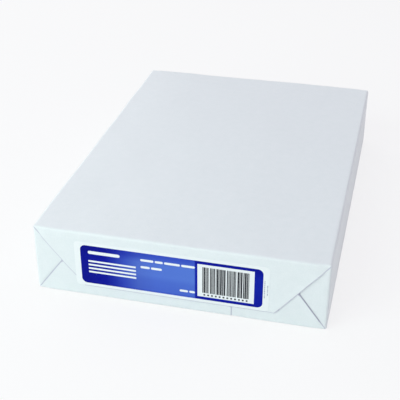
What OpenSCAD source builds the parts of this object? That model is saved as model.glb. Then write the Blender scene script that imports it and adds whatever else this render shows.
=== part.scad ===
// Ream of A4 office paper in its sealed wrapper, lying flat, with a printed label on one end.
// X runs across the sheets, Y along them, and Z up. The labelled end faces -Y.
// The origin is at the middle of the underside.

/* [Sheets] */
// Width of one sheet
sheet_w = 210; // [190:1:297]
// Length of one sheet
sheet_l = 297; // [210:1:420]
// Thickness of one sheet
sheet_t = 0.106; // [0.1:0.001:0.13]
// Number of sheets in the pack
sheet_count = 500; // [480:10:600]

/* [Wrapper] */
// Thickness of the coated wrapping paper
wrap_t = 0.15; // [0.1:0.01:0.25]
// Radius of the wrapper over the long edges of the sheets
long_edge_r = 2.6; // [1:0.1:4]
// Radius where the wrapper turns over the top and bottom of an end
end_fold_r = 3.2; // [1:0.1:4]
// Radius of the wrapper round the upright corners of the sheets
upright_r = 1.8; // [0.8:0.1:3]
// Distance of the lap's cut edge from the middle of the pack
lap_x = 38.6; // [20:0.1:50]
// Width of the hollow that the outer ply leaves beside its cut edge
lap_hollow_w = 1.4; // [0.6:0.1:3]

/* [End folds] */
// Height of the lower flap that shows under the upper one
lower_flap_show = 8.8; // [5:0.1:12]
// How far the upper flap's creases run inwards for each millimetre that they run down
upper_crease_slope = 0.82; // [0.7:0.01:1]
// How far the lower flap's creases run inwards for each millimetre that they run up
lower_crease_slope = 0.74; // [0.7:0.01:1]
// Plies of wrapper in a folded flap
flap_plies = 2; // [1:1:3]
// Height of the open slit under the folded edge of a flap
slit_h = 0.12; // [0.06:0.01:0.2]
// Depth of that slit, from the folded edge inwards
slit_w = 1.6; // [0.5:0.1:3]

/* [Label] */
// Width of the label
label_w = 139.4; // [130:0.1:150]
// Height of the label
label_h = 36.4; // [34:0.1:40]
// Thickness of the label stock
label_t = 0.12; // [0.08:0.01:0.25]
// Radius of the label's corners
label_r = 2.5; // [1:0.1:4]
// Distance of the label's middle from the middle of the pack
label_x = -5; // [-12:0.1:12]
// Gap between the upper flap's cut edge and the label
label_gap = 0.5; // [0.3:0.1:1.5]

/* [Print] */
// Thickness of a printed field, drawn thick enough to be a solid
ink_t = 0.06; // [0.04:0.01:0.12]
// White margin at each side of the printed field
field_margin_x = 4.4; // [2:0.1:6]
// White margin above and below the printed field
field_margin_z = 2.3; // [1:0.1:3]
// Radius of the printed field's corners
field_r = 4; // [2:0.1:6]
// Width of the white window that holds the bar pattern
window_w = 39.8; // [34:0.1:46]
// Width of the printed strip between the window and the field's right end
window_strip = 6; // [3:0.1:9]
// Height of the printed line above and below the window
window_line = 2.4; // [1:0.1:4]
// White margin at each side of the bars in their window
bar_margin_x = 3.6; // [2:0.1:6]
// White margin above the bars
bar_margin_high = 2.2; // [1:0.1:4]
// White margin under the bars, with the row of short marks in it
bar_margin_low = 3.4; // [3:0.1:6]
// Side of a square mark under the bars
mark_size = 1.2; // [0.8:0.1:2]
// Width of the block of white stripes at the left of the field
block_w = 35; // [25:0.1:37]
// Height of a white stripe in that block
stripe_h = 1.5; // [1:0.1:2]
// Height of the narrow white lines beside the block
line_h = 1.9; // [1.2:0.1:2.5]

/* [Hidden] */

$fn = 64;

// The pack over all, with one ply of wrapper all round the sheets.
pack_w = sheet_w + 2 * wrap_t;
pack_h = sheet_count * sheet_t + 2 * wrap_t;

// Each folded flap lies this far proud of what is under it, and an end has two such flaps.
flap_step = flap_plies * wrap_t + slit_h;
pack_l = sheet_l + 2 * (wrap_t + 2 * flap_step);
flap_depth = pack_h - lower_flap_show;

// Length past a surface for a shape that cuts it, or that meets it from inside.
past = 1;
// How far in from an end its folds reach, round the top and bottom edges.
fold_zone = end_fold_r + 2 * flap_step + past;

// The label stands on the upper flap. The printed field is measured from its own lower left corner.
label_z = lower_flap_show + label_gap;
field_w = label_w - 2 * field_margin_x;
field_h = label_h - 2 * field_margin_z;
window_h = field_h - 2 * window_line;
window_x = field_w - window_strip - window_w;
bars_w = window_w - 2 * bar_margin_x;
bars_h = window_h - bar_margin_low - bar_margin_high;

// The block of white stripes, like sheets seen from the side, and a short bar over it.
block_x = 5.6;
block_z = 9.2;
stripe_count = 4;
stripe_pitch = 2 * stripe_h;
heading_w = 23.5;
heading_h = 2.6;
heading_drop = 4.2;

// The narrow white lines between the block and the window.
block_gap = 3.4;
window_gap = 1.8;
column_x = block_x + block_w + block_gap;
column_w = window_x - window_gap - column_x;
line_drop = 5;
line_pitch = 5.8;
short_line_w = 15.5;
low_line_w = 11;
low_line_z = 4;

// Widths of the bars and of the gaps between them, in units, by a rule with a long period.
bar_count = 26;
mark_count = 12;
function bar_width(i) = 1 + (7 * i + 1) % 11 % 3;
function gap_width(i) = 1 + (5 * i + 3) % 13 % 3;
function bar_start(i) = i == 0 ? 0 : bar_start(i - 1) + bar_width(i - 1) + gap_width(i - 1);

// A rectangle about the origin, with round corners.
module round_rectangle(w, h, r) {
    square([w - 2 * r, h], center = true);
    square([w, h - 2 * r], center = true);
    for (sx = [-1, 1], sy = [-1, 1])
        translate([sx * (w / 2 - r), sy * (h / 2 - r)]) circle(r);
}

// A bar with round ends, from its lower left corner.
module round_bar(w, h) {
    translate([h / 2, 0]) square([w - h, h]);
    for (x = [h / 2, w - h / 2]) translate([x, h / 2]) circle(h / 2);
}

// An outline in X and Z, pulled along Y about the origin.
module along_y(length) {
    rotate([90, 0, 0]) linear_extrude(length, center = true) children();
}

// An outline in Y and Z, pulled along X about the origin.
module along_x(length) {
    rotate([90, 0, 90]) linear_extrude(length, center = true) children();
}

// An outline in X and Z laid on a plane that faces -Y, growing out of it.
module on_end(y, thickness) {
    translate([0, y, 0]) rotate([90, 0, 0]) linear_extrude(thickness) children();
}

// The wrapped sheets with round edges, each end taken in by inset.
module block(inset) {
    length = pack_l - 2 * inset;
    intersection() {
        along_y(length) translate([0, pack_h / 2]) round_rectangle(pack_w, pack_h, long_edge_r);
        along_x(pack_w) translate([0, pack_h / 2]) round_rectangle(length, pack_h, end_fold_r);
        linear_extrude(pack_h) round_rectangle(pack_w, length, upright_r);
    }
}

// Half the width that a flap has left at its cut edge.
function flap_tip(slope) = pack_w / 2 - slope * flap_depth;

// A flap hinged on the top edge of the end, narrowing along its two diagonal creases.
module flap_outline(slope) {
    tip = flap_tip(slope);
    polygon([
        [-pack_w / 2, pack_h],
        [pack_w / 2, pack_h],
        [tip, pack_h - flap_depth],
        [-tip, pack_h - flap_depth],
    ]);
}

// The two strips just inside that flap's creases, running on past the hinge.
module crease_strips(slope) {
    tip = flap_tip(slope);
    corner = pack_w / 2 + slope * past;
    for (side = [0, 1]) mirror([side, 0]) polygon([
        [corner, pack_h + past],
        [tip, pack_h - flap_depth],
        [tip - slit_w, pack_h - flap_depth],
        [corner - slit_w, pack_h + past],
    ]);
}

// The children turned over, for the flap that is hinged on the bottom edge.
module turned_up() {
    translate([0, pack_h]) mirror([0, 1]) children();
}

module upper_outline() {
    flap_outline(upper_crease_slope);
}

module lower_outline() {
    turned_up() flap_outline(lower_crease_slope);
}

// What the second child has within the outline that is the first child, at the -Y end.
module within_outline() {
    intersection() {
        translate([0, -pack_l / 2, 0]) along_y(2 * fold_zone) children(0);
        children(1);
    }
}

// The open slits under the flaps' folded edges, each at the foot of the flap where it lies.
module crease_slits() {
    tuck_y = -pack_l / 2 + 2 * flap_step;
    lower_y = -pack_l / 2 + flap_step;
    on_end(tuck_y, slit_h) difference() {
        turned_up() crease_strips(lower_crease_slope);
        upper_outline();
    }
    on_end(tuck_y, slit_h) difference() {
        crease_strips(upper_crease_slope);
        lower_outline();
    }
    on_end(lower_y, slit_h) intersection() {
        crease_strips(upper_crease_slope);
        lower_outline();
    }
}

// One end: the side tucks are the block itself, then come the lower flap and the upper one.
module end_folds() {
    difference() {
        union() {
            within_outline() {
                lower_outline();
                block(flap_step);
            }
            within_outline() {
                upper_outline();
                block(0);
            }
        }
        crease_slits();
    }
}

// The hollow beside the lap's cut edge, one ply deep: along the underside and up each lower flap.
module lap_hollow() {
    difference() {
        translate([lap_x, -pack_l / 2, -past]) cube([lap_hollow_w, pack_l, lower_flap_show + past]);
        translate([0, 0, wrap_t]) block(flap_step + wrap_t);
    }
}

module wrapped_ream() {
    color("white") difference() {
        union() {
            block(2 * flap_step);
            for (end = [0, 1]) mirror([0, end, 0]) end_folds();
        }
        lap_hollow();
    }
}

// The children on the labelled end, measured from the printed field's lower left corner.
module on_label(y, thickness) {
    left = label_x - field_w / 2;
    low = label_z + field_margin_z;
    on_end(y, thickness) translate([left, low]) children();
}

module end_label() {
    color("ghostwhite") on_label(-pack_l / 2, label_t)
        translate([field_w / 2, field_h / 2]) round_rectangle(label_w, label_h, label_r);
}

// White shapes in the field, where small lettering would be: all of them plain bars.
module white_shapes() {
    for (i = [0:stripe_count - 1])
        translate([block_x, block_z + i * stripe_pitch]) square([block_w, stripe_h]);
    translate([block_x, field_h - heading_drop - heading_h]) round_bar(heading_w, heading_h);
    translate([column_x, field_h - line_drop - line_h]) round_bar(column_w, line_h);
    translate([column_x, field_h - line_drop - line_pitch - line_h]) round_bar(short_line_w, line_h);
    translate([window_x - window_gap - low_line_w, low_line_z]) round_bar(low_line_w, line_h);
}

// The blue field, with the window and the white shapes left open.
module label_print() {
    color("mediumblue") on_label(-pack_l / 2 - label_t, ink_t) difference() {
        translate([field_w / 2, field_h / 2]) round_rectangle(field_w, field_h, field_r);
        translate([window_x, window_line]) square([window_w, window_h]);
        white_shapes();
    }
}

// The black bars in the window, and the row of square marks under them.
module barcode_print() {
    unit = bars_w / (bar_start(bar_count - 1) + bar_width(bar_count - 1));
    mark_pitch = bars_w / mark_count;
    color("black") on_label(-pack_l / 2 - label_t, ink_t)
        translate([window_x + bar_margin_x, window_line]) {
            for (i = [0:bar_count - 1])
                translate([bar_start(i) * unit, bar_margin_low]) square([bar_width(i) * unit, bars_h]);
            for (i = [0:mark_count - 1])
                translate([(i + 0.5) * mark_pitch - mark_size / 2, (bar_margin_low - mark_size) / 2])
                    square(mark_size);
        }
}

wrapped_ream();
end_label();
label_print();
barcode_print();
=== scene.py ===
# A ream of A4 office paper in its sealed coated wrapper, with a printed label on its front end.
# Lengths are in metres, in the model's own frame: X across the sheets, Y along them, Z up.
import math

import bmesh
import bpy
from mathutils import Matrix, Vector


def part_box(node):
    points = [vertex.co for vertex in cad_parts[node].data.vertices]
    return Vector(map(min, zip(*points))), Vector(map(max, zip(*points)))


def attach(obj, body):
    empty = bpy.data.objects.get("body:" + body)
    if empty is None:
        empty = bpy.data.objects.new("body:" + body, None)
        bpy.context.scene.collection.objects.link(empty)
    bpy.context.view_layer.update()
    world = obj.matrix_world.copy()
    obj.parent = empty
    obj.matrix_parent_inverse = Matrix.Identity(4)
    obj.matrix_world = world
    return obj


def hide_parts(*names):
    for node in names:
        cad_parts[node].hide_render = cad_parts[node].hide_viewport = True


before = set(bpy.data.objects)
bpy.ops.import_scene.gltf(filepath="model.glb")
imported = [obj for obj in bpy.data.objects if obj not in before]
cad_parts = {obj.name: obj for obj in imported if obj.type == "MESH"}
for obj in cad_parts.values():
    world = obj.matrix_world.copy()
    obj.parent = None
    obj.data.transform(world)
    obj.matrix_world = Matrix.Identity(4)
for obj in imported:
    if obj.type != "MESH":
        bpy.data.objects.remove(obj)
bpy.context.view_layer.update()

MM = 0.001

# The pack, from the frame, and the wrapper's folds as the model has them.
PACK_LOW, PACK_HIGH = (Vector(corner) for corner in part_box("wrapped_ream"))
PACK_W, PACK_L, PACK_H = PACK_HIGH - PACK_LOW
LABEL_LOW, LABEL_HIGH = (Vector(corner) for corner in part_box("end_label"))
PRINT_LOW, PRINT_HIGH = (Vector(corner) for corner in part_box("label_print"))
FLAP_STEP = 0.42 * MM
LONG_EDGE_R = 2.6 * MM
END_FOLD_R = 3.2 * MM
UPRIGHT_R = 1.8 * MM
LOWER_FLAP_SHOW = 8.8 * MM
UPPER_CREASE_SLOPE = 0.82
LOWER_CREASE_SLOPE = 0.74
LAP_X = 38.6 * MM
TUCK_Y = PACK_L / 2 - 2 * FLAP_STEP

# The wrapper's mesh.
GRID_STEP = 4 * MM
ROUND_SEGMENTS = 7
NEAR = 0.01 * MM
CUT_TOLERANCE = 0.1 * MM
CUT_SNAP = 0.09 * MM
WELD = 0.04 * MM
SMOOTH_ANGLE = math.radians(35)

# An edge runs all along the block from this share of its length, and the grid's edges over the second value
# are halved.
WHOLE_RUN = 0.8
HALVED_RUN = 0.6 * GRID_STEP

# A direction goes straight along an axis, or sideways, from these shares of its size.
STRAIGHT = 0.99
SIDEWAYS = 0.5

# The foot of each fold is drawn in under it, except near the roundings.
UPPER_UNDERCUT = 0.45 * MM
LOWER_UNDERCUT = 0.72 * MM
UNDERCUT_RUN_IN = 6 * MM

# The flaps lie flat at the pack's corners and rise from there to a full step. Plies are counted by that
# rise, or by the least one where it is almost nothing.
CORNER_FLAT = 4 * MM
CORNER_RUN_IN = 7 * MM
LEAST_RISE = 0.1

# The folds spring up, less towards the pack's top and bottom.
FOLD_SPRING = 0.3 * MM
FOLD_SPRING_REACH = 5 * MM
SPRING_RUN_IN_HIGH = 14 * MM
SPRING_RUN_IN_LOW = 8 * MM

# The gap under the upper flap's cut edge falls off to a share of its depth and then runs out.
GAP_DEPTH = 0.7 * MM
GAP_X = 5 * MM
GAP_REACH = 45 * MM
GAP_LEAST = 0.25
GAP_HALF_W = 60 * MM
GAP_RUN_OUT = 20 * MM

# The lap's cut edge, the ramp past it, and how far out it goes: on the lower flap, not on the upper one.
CUT_EDGE_W = 0.12 * MM
LAP_DEPTH = 0.25 * MM
LAP_RAMP = 9 * MM
LAP_END_Y = PACK_L / 2 - 0.6 * FLAP_STEP

# The painted shade that darkens the paper along its folds and cut edges: its reach, how much a millimetre
# up a rounding counts, and the lowest value, so far below 0 that the shade fades evenly from a fold to the
# next corners of the mesh.
FOLD_SHADE_REACH = 3 * MM
ROUNDING_SHARE = 0.5
LOWEST_SHADE = -2.0

# The paper's waves: how high they are and how far apart.
BROAD_WAVE_H, BROAD_WAVE_L = 1.3 * MM, 70 * MM
DENT_H, DENT_L = 0.4 * MM, 22 * MM
DRAG_LINE_H, DRAG_LINE_L = 0.35 * MM, 14 * MM
DRAG_LINE_STRETCH = (1, 4, 1)

# The waves start above the floor and beside the label, and the drag lines reach in from the ends.
FLOOR_FREE = 6 * MM
LABEL_FREE = 7 * MM
DRAG_REACH = 32 * MM

# Print on the label, in millimetres from the blue field's lower left corner. Blue parts the white lines
# into words: the left edge and the foot of each gap.
WORD_GAPS = ((53.6, 24.9), (60.3, 24.9), (72.5, 24.9), (50.8, 19.1), (78.1, 4.0))
WORD_GAP_W = 0.8
WORD_H = 1.9
WORD_END_CUTS = 7

# Columns of short dashes in the right margin: the place of the lowest dash, and how many there are.
DASH_COLUMNS = ((131.5, 8.6, 9), (133.6, 11.2, 5))
DASH_LENGTHS = (1.4, 0.9, 1.8, 0.7, 1.2, 1.6, 0.8)
DASH_W = 0.45
DASH_GAP = 0.45

# The corners of a dash or narrow bar are rounded by this share of its width.
CORNER_SHARE = 0.4
CORNER_SEGMENTS = 3

# A bar is this many times as high as it is wide, at least. A gap is wide from this many times the thinnest
# bar; a narrow bar takes up a share of it, and every third gap stays open.
BAR_SLIMNESS = 5
WIDE_GAP = 1.5
FINE_BAR_SHARE = 0.4
OPEN_GAP_EVERY = 3

# The view. The lens is for an image as wide as it is high.
CAMERA_PLACE = Vector((135.4, -633.2, 383.8)) * MM
CAMERA_AIM = Vector((-10.1, -42.1, 26.6)) * MM
CAMERA_LENS_MM = 79.8
CAMERA_SENSOR_MM = 36.0

# The stage, and its lamps with their place, width, power and colour.
FLOOR_SIZE = 6.0
FLOOR_SHOWN_WHITE = 0.75
WORLD_STRENGTH = 0.5
LAMP_AIM = Vector((0, 0, 20)) * MM
LAMPS = (
    ("key", Vector((-700, -1100, 800)) * MM, 1.3, 12.2, "ECFFF5"),
    ("overhead", Vector((150, 100, 1300)) * MM, 1.2, 2.3, "EDDFFF"),
    ("rear_fill", Vector((-900, 900, 600)) * MM, 1.2, 3.0, "FFFFFF"),
)


def linear(hex_colour):
    """An sRGB colour written as six hex digits, as the linear RGBA that a socket takes."""
    channels = [int(hex_colour[i:i + 2], 16) / 255 for i in (0, 2, 4)]
    return [c / 12.92 if c <= 0.04045 else ((c + 0.055) / 1.055) ** 2.4 for c in channels] + [1.0]


def add_node(material, kind, settings=None, values=None, links=None):
    """A node in the material's tree, with its settings, its socket values and its inputs' links."""
    node = material.node_tree.nodes.new(kind)
    for name, value in (settings or {}).items():
        setattr(node, name, value)
    for socket, value in (values or {}).items():
        node.inputs[socket].default_value = value
    for socket, source in (links or {}).items():
        material.node_tree.links.new(source, node.inputs[socket])
    return node


def new_material(name):
    """An empty material."""
    material = bpy.data.materials.new(name)
    material.use_nodes = True
    material.node_tree.nodes.clear()
    return material


def set_stops(node, stops):
    """Gives a colour ramp its stops: a place from 0 to 1, and a linear colour."""
    elements = node.color_ramp.elements
    while len(elements) < len(stops):
        elements.new(0.5)
    for element, (place, colour) in zip(elements, stops):
        element.position = place
        element.color = colour


def coated_wrapping_paper():
    """White kraft paper with a thin plastic coat. The eye sees a cool, slightly cloudy white with a silky
    shine and shallow cockles where the paper has drawn; a violet-grey shade is painted right at the folds."""
    material = new_material("coated_wrapping_paper")
    place = add_node(material, "ShaderNodeTexCoord").outputs["Object"]
    # The clouds of a sheet's formation are 2 to 8 mm across.
    clouds = add_node(
        material,
        "ShaderNodeTexNoise",
        values={"Scale": 1 / (6 * MM), "Detail": 3.0, "Roughness": 0.55},
        links={"Vector": place},
    )
    # Kraft fibres are 0.03 mm thick and 2 mm long, drawn here as a grain of 0.7 mm.
    fibres = add_node(
        material,
        "ShaderNodeTexNoise",
        values={"Scale": 1 / (0.7 * MM), "Detail": 2.0, "Roughness": 0.6},
        links={"Vector": place},
    )
    # Paper that has drawn damp cockles every 10 to 20 mm.
    cockles = add_node(
        material,
        "ShaderNodeTexNoise",
        values={"Scale": 1 / (16 * MM), "Detail": 1.0, "Roughness": 0.4, "Distortion": 0.6},
        links={"Vector": place},
    )
    cloudy_white = add_node(
        material,
        "ShaderNodeMix",
        settings={"data_type": "RGBA"},
        values={6: linear("E6EDEF"), 7: linear("EEF3F5")},
        links={0: clouds.outputs["Fac"]},
    )
    # Painted shade: a violet-grey tone along the folds and cut edges, from an attribute of the mesh that is
    # 1 on an edge.
    fold_shade = add_node(material, "ShaderNodeAttribute", settings={"attribute_name": "fold_shade"})
    painted_fold_shade = add_node(
        material,
        "ShaderNodeMapRange",
        settings={"interpolation_type": "SMOOTHSTEP"},
        values={"From Min": 0.77, "From Max": 1.0, "To Min": 0.0, "To Max": 0.7},
        links={"Value": fold_shade.outputs["Fac"]},
    )
    grain_tone = add_node(
        material,
        "ShaderNodeMapRange",
        values={"From Min": 0.35, "From Max": 0.65, "To Min": 0.0, "To Max": 0.16},
        links={"Value": fibres.outputs["Fac"]},
    )
    grained_white = add_node(
        material,
        "ShaderNodeMix",
        settings={"data_type": "RGBA"},
        values={7: linear("D3DBE0")},
        links={0: grain_tone.outputs[0], 6: cloudy_white.outputs[2]},
    )
    # The painted fold shade is mixed in over the paper's white here.
    colour = add_node(
        material,
        "ShaderNodeMix",
        settings={"data_type": "RGBA"},
        values={7: linear("AFACC4")},
        links={0: painted_fold_shade.outputs[0], 6: grained_white.outputs[2]},
    )
    roughness = add_node(
        material,
        "ShaderNodeMapRange",
        values={"From Min": 0.3, "From Max": 0.7, "To Min": 0.38, "To Max": 0.5},
        links={"Value": clouds.outputs["Fac"]},
    )
    cockled = add_node(
        material,
        "ShaderNodeBump",
        values={"Strength": 1.0, "Distance": 0.12 * MM},
        links={"Height": cockles.outputs["Fac"]},
    )
    grained = add_node(
        material,
        "ShaderNodeBump",
        values={"Strength": 1.0, "Distance": 0.02 * MM},
        links={"Height": fibres.outputs["Fac"], "Normal": cockled.outputs["Normal"]},
    )
    shader = add_node(
        material,
        "ShaderNodeBsdfPrincipled",
        values={"Coat Weight": 0.12, "Coat Roughness": 0.35, "IOR": 1.5, "Specular IOR Level": 0.4},
        links={
            "Base Color": colour.outputs[2],
            "Roughness": roughness.outputs[0],
            "Normal": grained.outputs["Normal"],
        },
    )
    add_node(material, "ShaderNodeOutputMaterial", links={"Surface": shader.outputs[0]})
    return material


def label_stock():
    """Gloss-coated label paper. The eye sees a cleaner and whiter white than the wrapper's, almost without
    texture, with a fine even grain."""
    material = new_material("label_stock")
    place = add_node(material, "ShaderNodeTexCoord").outputs["Object"]
    # The coating's grain is finer than 0.1 mm and is drawn at 0.8 mm.
    grain = add_node(
        material,
        "ShaderNodeTexNoise",
        values={"Scale": 1 / (0.8 * MM), "Detail": 2.0, "Roughness": 0.5},
        links={"Vector": place},
    )
    colour = add_node(
        material,
        "ShaderNodeMix",
        settings={"data_type": "RGBA"},
        values={6: linear("EEF3F5"), 7: linear("F4F8F9")},
        links={0: grain.outputs["Fac"]},
    )
    roughness = add_node(
        material,
        "ShaderNodeMapRange",
        values={"From Min": 0.3, "From Max": 0.7, "To Min": 0.3, "To Max": 0.38},
        links={"Value": grain.outputs["Fac"]},
    )
    bump = add_node(
        material,
        "ShaderNodeBump",
        values={"Strength": 1.0, "Distance": 0.003 * MM},
        links={"Height": grain.outputs["Fac"]},
    )
    shader = add_node(
        material,
        "ShaderNodeBsdfPrincipled",
        values={"Coat Weight": 0.1, "Coat Roughness": 0.25, "IOR": 1.5},
        links={
            "Base Color": colour.outputs[2],
            "Roughness": roughness.outputs[0],
            "Normal": bump.outputs["Normal"],
        },
    )
    add_node(material, "ShaderNodeOutputMaterial", links={"Surface": shader.outputs[0]})
    return material


def blue_offset_ink():
    """Blue offset print. The eye sees navy at the left that clears to a mid blue, a deep blue frame round
    the white window, the slight unevenness of a full ink film, and a satin shine."""
    material = new_material("blue_offset_ink")
    place = add_node(material, "ShaderNodeTexCoord").outputs["Object"]
    axes = add_node(material, "ShaderNodeSeparateXYZ", links={"Vector": place})
    across = add_node(
        material,
        "ShaderNodeMapRange",
        values={"From Min": PRINT_LOW.x, "From Max": PRINT_HIGH.x},
        links={"Value": axes.outputs["X"]},
    )
    tones = add_node(material, "ShaderNodeValToRGB", links={"Fac": across.outputs[0]})
    # Each tone's place is in millimetres from the pack's middle.
    tones_along = (
        (-70.3, "040A8A"), (-52, "06129A"), (-45, "2236AA"), (-38, "3A52BD"), (-28, "5270CA"),
        (-16, "5678D4"), (12.4, "587CD6"), (13.0, "0B1FA4"), (60.3, "0A1CA0"),
    )
    field_w = PRINT_HIGH.x - PRINT_LOW.x
    set_stops(tones, [((x * MM - PRINT_LOW.x) / field_w, linear(tone)) for x, tone in tones_along])
    upward = add_node(
        material,
        "ShaderNodeMapRange",
        values={"From Min": PRINT_LOW.z, "From Max": PRINT_HIGH.z},
        links={"Value": axes.outputs["Z"]},
    )
    depth = add_node(material, "ShaderNodeValToRGB", links={"Fac": upward.outputs[0]})
    # How much deeper the blue is, at shares of the field's height.
    depths_up = (
        (0.0, 0.9), (0.06, 0.45), (0.32, 0.3), (0.45, 0.0), (0.76, 0.05), (0.9, 0.85), (1.0, 1.0),
    )
    set_stops(depth, [(height, (share, share, share, 1.0)) for height, share in depths_up])
    shaded = add_node(
        material,
        "ShaderNodeMix",
        settings={"data_type": "RGBA", "blend_type": "MULTIPLY"},
        values={7: linear("A7A9E7")},
        links={0: depth.outputs["Color"], 6: tones.outputs["Color"]},
    )
    # A print screen has dots of 0.15 mm, drawn here as a mottle of 0.6 mm.
    mottle = add_node(
        material,
        "ShaderNodeTexNoise",
        values={"Scale": 1 / (0.6 * MM), "Detail": 2.0, "Roughness": 0.6},
        links={"Vector": place},
    )
    lighter = add_node(
        material,
        "ShaderNodeMapRange",
        values={"From Min": 0.35, "From Max": 0.75, "To Min": 0.0, "To Max": 0.06},
        links={"Value": mottle.outputs["Fac"]},
    )
    colour = add_node(
        material,
        "ShaderNodeMix",
        settings={"data_type": "RGBA"},
        values={7: linear("5468D8")},
        links={0: lighter.outputs[0], 6: shaded.outputs[2]},
    )
    roughness = add_node(
        material,
        "ShaderNodeMapRange",
        values={"From Min": 0.3, "From Max": 0.7, "To Min": 0.4, "To Max": 0.5},
        links={"Value": mottle.outputs["Fac"]},
    )
    shader = add_node(
        material,
        "ShaderNodeBsdfPrincipled",
        values={"Specular IOR Level": 0.05, "IOR": 1.5},
        links={"Base Color": colour.outputs[2], "Roughness": roughness.outputs[0]},
    )
    add_node(material, "ShaderNodeOutputMaterial", links={"Surface": shader.outputs[0]})
    return material


def printed_ink(name, dark, light):
    """Thermal print. The eye sees a soft matt tone, slightly broken by the paper's grain."""
    material = new_material(name)
    place = add_node(material, "ShaderNodeTexCoord").outputs["Object"]
    # The print head's dots are 0.125 mm, drawn here as a grain of 0.5 mm.
    grain = add_node(
        material,
        "ShaderNodeTexNoise",
        values={"Scale": 1 / (0.5 * MM), "Detail": 2.0, "Roughness": 0.6},
        links={"Vector": place},
    )
    colour = add_node(
        material,
        "ShaderNodeMix",
        settings={"data_type": "RGBA"},
        values={6: linear(dark), 7: linear(light)},
        links={0: grain.outputs["Fac"]},
    )
    roughness = add_node(
        material,
        "ShaderNodeMapRange",
        values={"From Min": 0.3, "From Max": 0.7, "To Min": 0.34, "To Max": 0.46},
        links={"Value": grain.outputs["Fac"]},
    )
    shader = add_node(
        material,
        "ShaderNodeBsdfPrincipled",
        values={"Specular IOR Level": 0.15, "IOR": 1.5},
        links={"Base Color": colour.outputs[2], "Roughness": roughness.outputs[0]},
    )
    add_node(material, "ShaderNodeOutputMaterial", links={"Surface": shader.outputs[0]})
    return material


def finish_node(name, material):
    """Gives a CAD node its finished material."""
    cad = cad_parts[name]
    cad.data.materials.clear()
    cad.data.materials.append(material)


def edit(piece):
    """Opens the piece in edit mode with nothing selected."""
    bpy.ops.object.select_all(action="DESELECT")
    piece.select_set(True)
    bpy.context.view_layer.objects.active = piece
    bpy.ops.object.mode_set(mode="EDIT")
    bpy.ops.mesh.select_all(action="DESELECT")


def select_faces(piece, test):
    """Selects the faces of the open piece whose centre and normal pass the test."""
    bpy.ops.mesh.select_mode(type="FACE")
    mesh = bmesh.from_edit_mesh(piece.data)
    for face in mesh.faces:
        face.select_set(test(face.calc_center_median(), face.normal))
    bmesh.update_edit_mesh(piece.data)


def keep_selected(piece, test):
    """Keeps only those selected faces of the open piece whose centre passes the test."""
    mesh = bmesh.from_edit_mesh(piece.data)
    kept = [face for face in mesh.faces if face.select and test(face.calc_center_median())]
    for face in mesh.faces:
        face.select_set(False)
    for face in kept:
        face.select_set(True)
    bmesh.update_edit_mesh(piece.data)


def select_edges(piece, test):
    """Selects the edges of the open piece whose run from end to end passes the test."""
    bpy.ops.mesh.select_mode(type="EDGE")
    mesh = bmesh.from_edit_mesh(piece.data)
    for edge in mesh.edges:
        edge.select_set(test(edge.verts[1].co - edge.verts[0].co))
    bmesh.update_edit_mesh(piece.data)


def add_block(name, low, high):
    """A cube primitive between two corners, with its place in its mesh."""
    bpy.ops.object.select_all(action="DESELECT")
    bpy.ops.mesh.primitive_cube_add(size=1, location=(low + high) / 2, scale=high - low)
    piece = bpy.context.object
    piece.name = name
    bpy.ops.object.transform_apply(location=True, rotation=True, scale=True)
    return piece


def apply_modifier(piece, kind, **settings):
    """Adds a modifier to the piece and applies it."""
    modifier = piece.modifiers.new(kind.lower(), kind)
    for name, value in settings.items():
        setattr(modifier, name, value)
    bpy.ops.object.select_all(action="DESELECT")
    piece.select_set(True)
    bpy.context.view_layer.objects.active = piece
    bpy.ops.object.modifier_apply(modifier=modifier.name)


def round_edges(piece):
    """Rounds the twelve edges of the block, each kind to its own radius."""
    faces = (PACK_W / 2, TUCK_Y, PACK_H / 2)
    radii = (LONG_EDGE_R, END_FOLD_R, UPRIGHT_R)
    middle = Vector((0, 0, PACK_H / 2))
    weights = piece.data.attributes.new("bevel_weight_edge", "FLOAT", "EDGE")
    for edge in piece.data.edges:
        ends = [piece.data.vertices[i].co - middle for i in edge.vertices]
        on_x, on_y, on_z = (
            all(abs(abs(end[axis]) - faces[axis]) < NEAR for end in ends) for axis in range(3)
        )
        for pair, radius in zip(((on_x, on_z), (on_y, on_z), (on_x, on_y)), radii):
            if all(pair):
                weights.data[edge.index].value = radius / END_FOLD_R
    apply_modifier(
        piece, "BEVEL", limit_method="WEIGHT", width=END_FOLD_R, segments=ROUND_SEGMENTS,
        use_clamp_overlap=False, miter_outer="MITER_SHARP",
    )


def cut_grid(piece):
    """Cuts the open block's faces and roundings across, into grid steps and then into half steps."""
    lengths = (PACK_W, 2 * TUCK_Y, PACK_H)
    for axis, length in enumerate(lengths):
        select_edges(piece, lambda run: abs(run[axis]) > WHOLE_RUN * length)
        bpy.ops.mesh.subdivide(number_cuts=round(length / GRID_STEP) - 1)
    for axis in range(3):
        select_edges(piece, lambda run: abs(run[axis]) > max(STRAIGHT * run.length, HALVED_RUN))
        bpy.ops.mesh.subdivide(number_cuts=1)


def upper_crease(x, z):
    """How far a place is inside the upper flap's creases, below 0 outside them."""
    return (PACK_W / 2 - UPPER_CREASE_SLOPE * (PACK_H - z) - abs(x)) / math.hypot(1, UPPER_CREASE_SLOPE)


def lower_crease(x, z):
    """How far a place is inside the lower flap's creases, below 0 outside them."""
    return (PACK_W / 2 - LOWER_CREASE_SLOPE * z - abs(x)) / math.hypot(1, LOWER_CREASE_SLOPE)


def inside_upper_flap(x, z):
    """Whether a place is inside the upper flap's outline."""
    return z > LOWER_FLAP_SHOW and upper_crease(x, z) > 0


def inside_either_flap(x, z):
    """Whether a place is inside the outline of one flap or both."""
    return inside_upper_flap(x, z) or lower_crease(x, z) > 0


def tuck_fold_distance(x, z):
    """How far a place on the tucks is from the flaps' creases."""
    return abs(max(upper_crease(x, z), lower_crease(x, z)))


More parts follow.
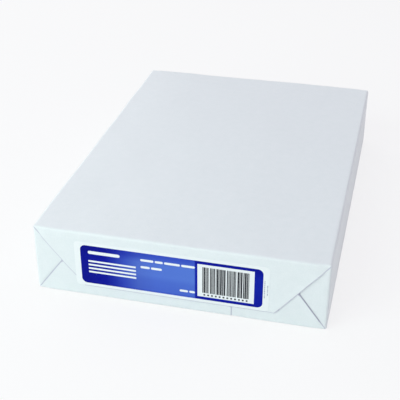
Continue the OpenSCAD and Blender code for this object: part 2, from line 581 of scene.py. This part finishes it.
def lower_fold_distance(x, z):
    """How far a place on the lower flap is from its crease, the lap's edge and the upper flap's edge."""
    past_upper_flap = max(-upper_crease(x, z), LOWER_FLAP_SHOW - z)
    if past_upper_flap < -CUT_TOLERANCE:
        return FOLD_SHADE_REACH
    return min(abs(lower_crease(x, z)), abs(past_upper_flap), abs(x - LAP_X))


def upper_fold_distance(x, z):
    """How far a place on the upper flap is from its crease and its cut edge."""
    return min(upper_crease(x, z), z - LOWER_FLAP_SHOW)


def crease_lines():
    """The lines of the creases, the upper and the lower flap's in turn at each side: a point, and the
    direction in under the flap."""
    lines = []
    for side in (-1, 1):
        for z, slope, upward in ((PACK_H, UPPER_CREASE_SLOPE, 1), (0, LOWER_CREASE_SLOPE, -1)):
            inward = Vector((-side, 0, upward * slope)).normalized()
            lines.append((Vector((side * PACK_W / 2, 0, z)), inward))
    return lines


CREASES = crease_lines()
CUT_EDGE = (Vector((0, 0, LOWER_FLAP_SHOW)), Vector((0, 0, 1)))
UPPER_FLAP_EDGES = CREASES[0::2] + [CUT_EDGE]


def on_end(end, place):
    """Whether a place is on that end of the pack or on the rounding over its top or bottom."""
    return place.y * end > TUCK_Y - END_FOLD_R + NEAR


def cut_creases(piece, end):
    """Cuts the open piece along the lines that the flaps' edges will follow."""
    for place, inward in CREASES + [CUT_EDGE]:
        select_faces(piece, lambda centre, facing: on_end(end, centre))
        bpy.ops.mesh.bisect(plane_co=place, plane_no=inward, threshold=CUT_SNAP)


def paint_fold_shade(corner, shade_layer, distance):
    """Paints shade by a corner's nearness to a fold: 1 on the fold, 0 at the shade's reach from it."""
    over_round = max(TUCK_Y - abs(corner.co.y), 0)
    corner[shade_layer] = max(1 - (distance + ROUNDING_SHARE * over_round) / FOLD_SHADE_REACH, LOWEST_SHADE)


def paint_tuck_shade(piece):
    """Paints the folds' shade on both ends as it shows on the tucks."""
    mesh = bmesh.from_edit_mesh(piece.data)
    shade_layer = mesh.verts.layers.float.new("fold_shade")
    for corner in mesh.verts:
        if abs(corner.co.y) > TUCK_Y - END_FOLD_R + NEAR:
            paint_fold_shade(corner, shade_layer, tuck_fold_distance(corner.co.x, corner.co.z))
    bmesh.update_edit_mesh(piece.data)


def raise_flap(piece, end, inside, fold_distance, edge_lines, undercut):
    """Raises those selected faces that are inside a flap's outline by one step, less near the pack's
    corners, draws the foot of its edges in under it, and paints the shade along its folds."""
    keep_selected(piece, lambda centre: inside(centre.x, centre.z))
    bpy.ops.mesh.extrude_region_move(
        TRANSFORM_OT_translate={"value": (0, end * FLAP_STEP, 0)}
    )
    mesh = bmesh.from_edit_mesh(piece.data)
    shade_layer = mesh.verts.layers.float["fold_shade"]
    feet = {
        corner
        for face in mesh.faces
        if not face.select and any(corner.select for corner in face.verts)
        for corner in face.verts
        if not corner.select
    }
    # Feet drawn in under the flap get that much more painted fold shade.
    for corner in feet:
        drawn_in = undercut * (1 - fade(height_over_round(corner.co.z), UNDERCUT_RUN_IN))
        ways_in = [
            inward
            for start, inward in edge_lines
            if abs((corner.co - start).dot(inward)) < CUT_TOLERANCE
        ]
        if ways_in:
            corner.co += sum(ways_in, Vector()) * drawn_in
            corner[shade_layer] += drawn_in / FOLD_SHADE_REACH
    for corner in mesh.verts:
        if corner.select:
            corner.co.y -= end * FLAP_STEP * (1 - flap_rise(corner.co))
            paint_fold_shade(corner, shade_layer, fold_distance(corner.co.x, corner.co.z))
    bmesh.update_edit_mesh(piece.data)


def flap_rise(place):
    """The share of its step that a flap is raised by: 0 at the pack's corners, where it starts, and 1 away
    from them."""
    corner_distance = math.hypot(PACK_W / 2 - abs(place.x), min(place.z, PACK_H - place.z))
    return 1 - fade(max(corner_distance - CORNER_FLAT, 0), CORNER_RUN_IN)


def height_over_round(z):
    """How far a height is from the roundings at the pack's top and bottom, below 0 on them."""
    return min(z, PACK_H - z) - END_FOLD_R


def cut_lap(piece):
    """Cuts two close lines along the underside and over the lower flaps, for the lap's cut edge."""
    for x in (LAP_X, LAP_X + CUT_EDGE_W):
        select_faces(
            piece,
            lambda centre, facing: centre.z < LOWER_FLAP_SHOW and abs(facing.x) < SIDEWAYS,
        )
        bpy.ops.mesh.bisect(plane_co=(x, 0, 0), plane_no=(1, 0, 0), threshold=NEAR)


def move_by_weight(piece, weigh, distance, **settings):
    """Moves the piece's surface by a distance times the weight that weigh gives each place."""
    group = piece.vertex_groups.new(name="moved")
    for vertex in piece.data.vertices:
        weight = weigh(vertex.co, vertex.normal)
        if weight > 0:
            group.add([vertex.index], min(weight, 1.0), "REPLACE")
    apply_modifier(piece, "DISPLACE", vertex_group="moved", strength=distance, **settings)
    piece.vertex_groups.remove(piece.vertex_groups["moved"])


def fade(distance, reach):
    """1 at no distance, falling smoothly to 0 at the reach."""
    share = min(max(1 - distance / reach, 0.0), 1.0)
    return share * share * (3 - 2 * share)


def plies_up(place):
    """How many raised plies a place on an end lies above the tucks, which have the same roundings."""
    over_round = min(height_over_round(place.z), 0)
    tuck_y = TUCK_Y - END_FOLD_R + math.sqrt(max(END_FOLD_R**2 - over_round**2, 0))
    return round((abs(place.y) - tuck_y) / (FLAP_STEP * max(flap_rise(place), LEAST_RISE)))


def spring_weight(place, end):
    """How much the folded edges of the flaps spring up, most at the middle of their run."""
    plies = plies_up(place) if place.y * end > 0 else 0
    if plies < 1:
        return 0.0
    crease = upper_crease if plies > 1 else lower_crease
    near_edge = fade(max(crease(place.x, place.z), 0), FOLD_SPRING_REACH)
    clear_of_top = 1 - fade(PACK_H - END_FOLD_R - place.z, SPRING_RUN_IN_HIGH)
    clear_of_bottom = 1 - fade(place.z - END_FOLD_R, SPRING_RUN_IN_LOW)
    return near_edge * clear_of_top * clear_of_bottom * label_weight(place)


def gap_weight(place, end):
    """How far the lower flap lies in beneath the upper flap's cut edge, most a little to one side of the
    middle."""
    above_gap = place.z > LOWER_FLAP_SHOW + 2 * UPPER_UNDERCUT
    if place.y * end < 0 or plies_up(place) != 1 or above_gap:
        return 0.0
    clear_of_bottom = 1 - fade(place.z - END_FOLD_R, LOWER_FLAP_SHOW - END_FOLD_R)
    middle = GAP_LEAST + (1 - GAP_LEAST) * fade(abs(place.x * end + GAP_X), GAP_REACH)
    return clear_of_bottom * middle * fade(max(abs(place.x) - GAP_HALF_W, 0), GAP_RUN_OUT)


def lap_weight(place, facing):
    """How far the paper past the lap's cut edge lies in, on the underside and on the lower flap."""
    past_edge = place.x - LAP_X - CUT_EDGE_W
    on_lower_ply = place.z < LOWER_FLAP_SHOW + NEAR and abs(place.y) < LAP_END_Y
    if past_edge < -2 * NEAR or not on_lower_ply:
        return 0.0
    return fade(max(past_edge, 0), LAP_RAMP)


def label_weight(place):
    """0 on and round the label's place, where the paper is held flat, and 1 away from it."""
    if place.y > 0:
        return 1.0
    outside = max(LABEL_LOW.x - place.x, place.x - LABEL_HIGH.x, place.z - LABEL_HIGH.z, 0)
    height = TUCK_Y - END_FOLD_R + place.y
    return 1 - fade(max(outside, height), LABEL_FREE)


def loose_weight(place, facing):
    """How freely the paper can wave: not where it lies on the floor or carries the label."""
    return (1 - fade(place.z, FLOOR_FREE)) * label_weight(place)


def drag_weight(place, facing):
    """How strongly the ends' folds have drawn lines into the paper: near the ends only."""
    near_end = fade(max(TUCK_Y - abs(place.y), 0), DRAG_REACH)
    return near_end * loose_weight(place, facing)


def wave(piece, name, weigh, height, length, stretch=(1, 1, 1)):
    """Waves in the paper, from a cloud texture that may be stretched along an axis."""
    texture = bpy.data.textures.new(name, "CLOUDS")
    texture.noise_scale = length
    texture.noise_depth = 1
    guide = bpy.data.objects.new(name, None)
    bpy.context.scene.collection.objects.link(guide)
    guide.scale = stretch
    bpy.context.view_layer.update()
    move_by_weight(
        piece, weigh, height, texture=texture, texture_coords="OBJECT",
        texture_coords_object=guide, mid_level=0.5,
    )
    bpy.data.objects.remove(guide)


def make_wrapper():
    """The folded wrapper: a rounded block with a lower and an upper flap raised on each end."""
    low = Vector((-PACK_W / 2, -TUCK_Y, 0))
    high = Vector((PACK_W / 2, TUCK_Y, PACK_H))
    wrapper = add_block("wrapper", low, high)
    round_edges(wrapper)
    edit(wrapper)
    cut_grid(wrapper)
    for end in (-1, 1):
        cut_creases(wrapper, end)
    cut_lap(wrapper)
    paint_tuck_shade(wrapper)
    for end in (-1, 1):
        select_faces(
            wrapper,
            lambda centre, facing: on_end(end, centre) and abs(facing.y) + abs(facing.z) > STRAIGHT,
        )
        raise_flap(wrapper, end, inside_either_flap, lower_fold_distance, CREASES, LOWER_UNDERCUT)
        raise_flap(wrapper, end, inside_upper_flap, upper_fold_distance, UPPER_FLAP_EDGES, UPPER_UNDERCUT)
    bpy.ops.mesh.select_all(action="SELECT")
    bpy.ops.mesh.remove_doubles(threshold=WELD)
    bpy.ops.object.mode_set(mode="OBJECT")
    for end in (-1, 1):
        move_by_weight(
            wrapper,
            lambda place, facing: spring_weight(place, end),
            end * FOLD_SPRING,
            direction="Y",
            mid_level=0.0,
        )
        move_by_weight(
            wrapper,
            lambda place, facing: gap_weight(place, end),
            -end * GAP_DEPTH,
            direction="Y",
            mid_level=0.0,
        )
    move_by_weight(wrapper, lap_weight, -LAP_DEPTH, mid_level=0.0)
    wave(wrapper, "broad_waves", loose_weight, BROAD_WAVE_H, BROAD_WAVE_L)
    wave(wrapper, "dents", loose_weight, DENT_H, DENT_L)
    wave(wrapper, "drag_lines", drag_weight, DRAG_LINE_H, DRAG_LINE_L, DRAG_LINE_STRETCH)
    bpy.ops.object.shade_smooth_by_angle(angle=SMOOTH_ANGLE)
    wrapper.data.materials.append(coated_wrapping_paper())
    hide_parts("wrapped_ream")
    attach(wrapper, "root")


def word_gaps():
    """The rectangles of the gaps between the white words."""
    return [(left, low, left + WORD_GAP_W, low + WORD_H) for left, low in WORD_GAPS]


def margin_dashes():
    """The rectangles of the short dashes beside the field, where the smallest print would be."""
    dashes = []
    for x, z, count in DASH_COLUMNS:
        for i in range(count):
            length = DASH_LENGTHS[(i + count) % len(DASH_LENGTHS)]
            dashes.append((x, z, x + DASH_W, z + length))
            z += length + DASH_GAP
    return dashes


def round_word_ends(gap):
    """Draws a gap's sides outwards at its top and bottom, round the ends of the words beside it."""
    edit(gap)
    select_edges(gap, lambda run: abs(run.z) > NEAR)
    bpy.ops.mesh.subdivide(number_cuts=WORD_END_CUTS)
    bpy.ops.object.mode_set(mode="OBJECT")
    corners = [vertex.co for vertex in gap.data.vertices]
    middle = sum(corners, Vector()) / len(corners)
    radius = WORD_H / 2 * MM
    for corner in corners:
        angle = (corner.z - middle.z) / radius * math.pi / 2
        outwards = math.copysign(radius, corner.x - middle.x)
        corner.z = middle.z + radius * math.sin(angle)
        corner.x += outwards * (1 - math.cos(angle))


def printed_bars():
    """The bars of the CAD's print from left to right: left, low, right and high edge, in millimetres from
    the blue field's lower left corner."""
    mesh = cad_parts["barcode_print"].data
    bars = set()
    for face in mesh.polygons:
        places = [(mesh.vertices[i].co - PRINT_LOW) / MM for i in face.vertices]
        left, right = min(place.x for place in places), max(place.x for place in places)
        low, high = min(place.z for place in places), max(place.z for place in places)
        if face.normal.y < -STRAIGHT and high - low > BAR_SLIMNESS * (right - left):
            bars.add(tuple(round(edge, 3) for edge in (left, low, right, high)))
    return sorted(bars)


def fine_bars():
    """The rectangles of narrow bars in the wider gaps, which make the pattern as dense as such print is.
    Every third gap stays open and parts the bars into groups."""
    bars = printed_bars()
    thinnest = min(right - left for left, low, right, high in bars)
    rectangles = []
    for i, (bar, next_bar) in enumerate(zip(bars, bars[1:])):
        low, gap_left, high = bar[1:]
        gap = next_bar[0] - gap_left
        if gap > WIDE_GAP * thinnest and i % OPEN_GAP_EVERY > 0:
            left = gap_left + (1 - FINE_BAR_SHARE) / 2 * gap
            rectangles.append((left, low, left + FINE_BAR_SHARE * gap, high))
    return rectangles


def round_corners(dash):
    """Rounds the corners of a printed dash or bar."""
    width = dash.dimensions.x
    edit(dash)
    select_edges(dash, lambda run: abs(run.y) > NEAR)
    bpy.ops.mesh.bevel(offset=CORNER_SHARE * width, segments=CORNER_SEGMENTS, affect="EDGES")
    bpy.ops.object.mode_set(mode="OBJECT")


def add_print(name, rectangles, shape, material):
    """Print on the label: flat blocks as thick as the CAD's print, placed from the blue field's corner, and
    each then given its outline."""
    blocks = []
    for left, low, right, high in rectangles:
        corner = Vector((PRINT_LOW.x + left * MM, PRINT_LOW.y, PRINT_LOW.z + low * MM))
        far_corner = Vector((PRINT_LOW.x + right * MM, PRINT_HIGH.y, PRINT_LOW.z + high * MM))
        blocks.append(add_block(name, corner, far_corner))
        shape(blocks[-1])
    bpy.ops.object.select_all(action="DESELECT")
    for block in blocks:
        block.select_set(True)
    bpy.context.view_layer.objects.active = blocks[0]
    bpy.ops.object.join()
    blocks[0].name = name
    blocks[0].data.materials.append(material)
    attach(blocks[0], "root")


def seen_by_camera(material):
    """1 for a ray from the camera, also by way of gloss or glass, and 0 for one that lights something."""
    ray = add_node(material, "ShaderNodeLightPath")
    straight_or_gloss = add_node(
        material,
        "ShaderNodeMath",
        settings={"operation": "MAXIMUM"},
        links={0: ray.outputs["Is Camera Ray"], 1: ray.outputs["Is Glossy Ray"]},
    )
    seen = add_node(
        material,
        "ShaderNodeMath",
        settings={"operation": "MAXIMUM"},
        links={0: straight_or_gloss.outputs[0], 1: ray.outputs["Is Transmission Ray"]},
    )
    return seen.outputs[0]


def make_floor():
    """A white floor that shows white to the camera and still keeps some of the pack's shadow."""
    bpy.ops.object.select_all(action="DESELECT")
    bpy.ops.mesh.primitive_plane_add(size=FLOOR_SIZE, location=(0, 0, 0))
    floor = bpy.context.object
    floor.name = "floor"
    material = new_material("white_studio_floor")
    matte = add_node(material, "ShaderNodeBsdfDiffuse", values={"Color": linear("F8F9FA")})
    white = add_node(material, "ShaderNodeEmission", values={"Color": linear("FFFFFF")})
    share = add_node(
        material,
        "ShaderNodeMath",
        settings={"operation": "MULTIPLY"},
        values={1: FLOOR_SHOWN_WHITE},
        links={0: seen_by_camera(material)},
    )
    mixed = add_node(
        material,
        "ShaderNodeMixShader",
        links={0: share.outputs[0], 1: matte.outputs[0], 2: white.outputs[0]},
    )
    add_node(material, "ShaderNodeOutputMaterial", links={"Surface": mixed.outputs[0]})
    floor.data.materials.append(material)


def add_area_light(name, place, size, power, colour):
    """A round lamp aimed at the pack."""
    data = bpy.data.lights.new(name, "AREA")
    data.shape = "DISK"
    data.size = size
    data.energy = power
    data.color = linear(colour)[:3]
    light = bpy.data.objects.new(name, data)
    light.location = place
    light.rotation_euler = (LAMP_AIM - place).to_track_quat("-Z", "Y").to_euler()
    bpy.context.scene.collection.objects.link(light)


def light_the_world():
    """An even light from all round, in front of a white that only the camera and shiny faces see."""
    world = bpy.data.worlds.new("studio")
    world.use_nodes = True
    world.node_tree.nodes.clear()
    even = add_node(
        world,
        "ShaderNodeBackground",
        values={"Color": linear("FCF8FF"), "Strength": WORLD_STRENGTH},
    )
    white = add_node(world, "ShaderNodeBackground", values={"Color": linear("FFFFFF")})
    mixed = add_node(
        world,
        "ShaderNodeMixShader",
        links={0: seen_by_camera(world), 1: even.outputs[0], 2: white.outputs[0]},
    )
    add_node(world, "ShaderNodeOutputWorld", links={"Surface": mixed.outputs[0]})
    bpy.context.scene.world = world


def add_camera():
    """The camera at the photograph's viewing angle."""
    data = bpy.data.cameras.new("camera")
    data.lens = CAMERA_LENS_MM
    data.sensor_width = CAMERA_SENSOR_MM
    camera = bpy.data.objects.new("camera", data)
    camera.location = CAMERA_PLACE
    camera.rotation_euler = (CAMERA_AIM - CAMERA_PLACE).to_track_quat("-Z", "Y").to_euler()
    bpy.context.scene.collection.objects.link(camera)
    bpy.context.scene.camera = camera


make_wrapper()
finish_node("end_label", label_stock())
finish_node("label_print", blue_offset_ink())
finish_node("barcode_print", printed_ink("black_bar_ink", "06070F", "181A2A"))
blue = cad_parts["label_print"].data.materials[0]
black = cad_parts["barcode_print"].data.materials[0]
grey = printed_ink("grey_small_print", "8C8FA8", "A4A7BC")
add_print("word_gaps", word_gaps(), round_word_ends, blue)
add_print("fine_bars", fine_bars(), round_corners, black)
add_print("margin_print", margin_dashes(), round_corners, grey)
make_floor()
for lamp in LAMPS:
    add_area_light(*lamp)
light_the_world()
add_camera()
bpy.context.scene.view_settings.view_transform = "Standard"
